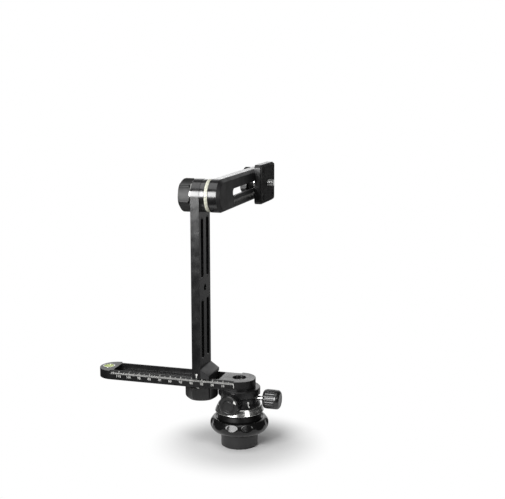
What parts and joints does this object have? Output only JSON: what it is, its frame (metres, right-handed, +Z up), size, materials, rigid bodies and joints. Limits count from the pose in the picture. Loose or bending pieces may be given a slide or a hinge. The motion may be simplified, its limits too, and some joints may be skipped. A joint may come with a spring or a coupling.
{
  "type": "panoramic tripod head",
  "caption": "Panoramic tripod head: click-stop rotator, slotted lower arm, upright on a sliding carriage and a tilting camera rail with a screw plate.",
  "frame": {"origin": "centre of the tripod thread, on the bottom face of the foot", "axes": "+Z up along the pan axis; +X from the lower arm towards the pan lock knob, along the tilt axis; +Y back along the camera rail; the selector dial and the printed scale face -Y"},
  "size_m": [0.1725, 0.1811, 0.2434],
  "materials": {
    "black_anodised": "fine-blasted black anodised aluminium, satin",
    "black_gloss": "turned black anodised aluminium, half gloss",
    "silver_ring": "turned clear anodised aluminium with engraved degree marks",
    "ivory_ring": "pale anodised ring with engraved degree marks",
    "dial_face": "black anodised disc, bare",
    "steel": "turned steel",
    "bright_steel": "bright plated steel",
    "bronze": "sintered bronze",
    "green_liquid": "acrylic vial with yellow-green liquid",
    "rubber_pad": "ribbed rubber",
    "friction_board": "pressed friction board"
  },
  "bodies": {
    "base": {"base_foot": "black_anodised", "grip_ring": "black_gloss", "grip_set_screws": "steel", "base_disc": "black_anodised", "base_screws": "steel", "degree_ring": "silver_ring", "detent_ring": "steel", "spindle": "steel", "spindle_washer": "steel", "spindle_nut": "steel"},
    "rotor": {"rotor_housing": "black_anodised", "pan_bush": "bronze", "pivot_cap": "steel", "arm_dowels": "steel", "arm_bolt": "bright_steel", "lower_arm": "black_anodised", "bubble_cup": "silver_ring", "bubble_vial": "green_liquid", "detent_spring": "steel"},
    "selector": {"selector_shaft": "steel", "selector_dial": "black_anodised", "dial_disc": "dial_face"},
    "detent": {"detent_plunger": "steel"},
    "pan_brake": {"brake_pad": "bronze"},
    "pan_lock": {"pan_lock_screw": "bright_steel", "pan_lock_knob": "black_gloss"},
    "carriage": {"carriage_block": "black_anodised", "upright": "black_anodised", "foot_screws": "steel", "carriage_stud": "steel", "tilt_hub": "black_anodised", "hub_screws": "steel", "tilt_degree_ring": "ivory_ring", "tilt_bush": "bronze", "friction_disc": "friction_board"},
    "carriage_clamp": {"clamp_washer": "bright_steel"},
    "carriage_lock": {"carriage_knob": "black_gloss"},
    "tilt_clamp": {"tilt_washer": "bright_steel"},
    "tilt_lock": {"tilt_knob": "black_gloss"},
    "tilt": {"tilt_stud": "steel", "camera_rail": "black_anodised"},
    "plate": {"camera_plate": "black_anodised", "plate_pad": "rubber_pad", "plate_screws": "steel"},
    "plate_clamp": {"plate_washer": "bright_steel"},
    "plate_lock": {"plate_knob": "black_gloss", "camera_screw": "bright_steel"}
  },
  "joints": [
    {"name": "pan", "type": "hinge", "parent": "base", "child": "rotor", "pos_m": [0, 0, 0.038], "axis": [0, 0, 1], "continuous": true},
    {"name": "selector_turn", "type": "hinge", "parent": "rotor", "child": "selector", "pos_m": [-0.0023, -0.02188, 0.0429], "axis": [-0.1045, -0.9945, 0], "range_deg": [0, 180]},
    {"name": "detent_lift", "type": "slide", "parent": "rotor", "child": "detent", "axis": [0, 0, 1], "range_m": [0, 0.0012], "deforming": ["detent_spring"]},
    {"name": "pan_lock_feed", "type": "slide", "parent": "rotor", "child": "pan_brake", "axis": [1, 0, 0], "range_m": [0, 0.00035]},
    {"name": "pan_lock_turn", "type": "hinge", "parent": "pan_brake", "child": "pan_lock", "pos_m": [0.03, 0, 0.0445], "axis": [1, 0, 0], "range_deg": [0, 182]},
    {"name": "carriage_slide", "type": "slide", "parent": "rotor", "child": "carriage", "axis": [1, 0, 0], "range_m": [-0.075, 0.0015]},
    {"name": "carriage_clamp_feed", "type": "slide", "parent": "carriage", "child": "carriage_clamp", "axis": [0, 0, -1], "range_m": [0, 0.0004]},
    {"name": "carriage_knob_turn", "type": "hinge", "parent": "carriage_clamp", "child": "carriage_lock", "pos_m": [-0.0356, 0, 0.047], "axis": [0, 0, -1], "range_deg": [0, 182]},
    {"name": "tilt_clamp_feed", "type": "slide", "parent": "carriage", "child": "tilt_clamp", "axis": [-1, 0, 0], "range_m": [0, 0.000625]},
    {"name": "tilt_knob_turn", "type": "hinge", "parent": "tilt_clamp", "child": "tilt_lock", "pos_m": [-0.046, 0, 0.2244], "axis": [-1, 0, 0], "range_deg": [0, 182]},
    {"name": "tilt", "type": "hinge", "parent": "carriage", "child": "tilt", "pos_m": [-0.02, 0, 0.2244], "axis": [1, 0, 0], "continuous": true},
    {"name": "plate_slide", "type": "slide", "parent": "tilt", "child": "plate", "axis": [0, 1, 0], "range_m": [-0.074, 0.008]},
    {"name": "plate_clamp_feed", "type": "slide", "parent": "plate", "child": "plate_clamp", "axis": [-1, 0, 0], "range_m": [0, 0.000635]},
    {"name": "plate_knob_turn", "type": "hinge", "parent": "plate_clamp", "child": "plate_lock", "pos_m": [-0.0275, 0.117, 0.2244], "axis": [-1, 0, 0], "range_deg": [0, 182]}
  ],
  "couplings": [
    {"joint": "detent_lift", "follows": "selector_turn", "m_per_rad": 0.00038197},
    {"joint": "pan_lock_turn", "follows": "pan_lock_feed", "rad_per_m": 8976},
    {"joint": "carriage_knob_turn", "follows": "carriage_clamp_feed", "rad_per_m": 7854},
    {"joint": "tilt_knob_turn", "follows": "tilt_clamp_feed", "rad_per_m": 5026.5},
    {"joint": "plate_knob_turn", "follows": "plate_clamp_feed", "rad_per_m": 4947.4}
  ]
}
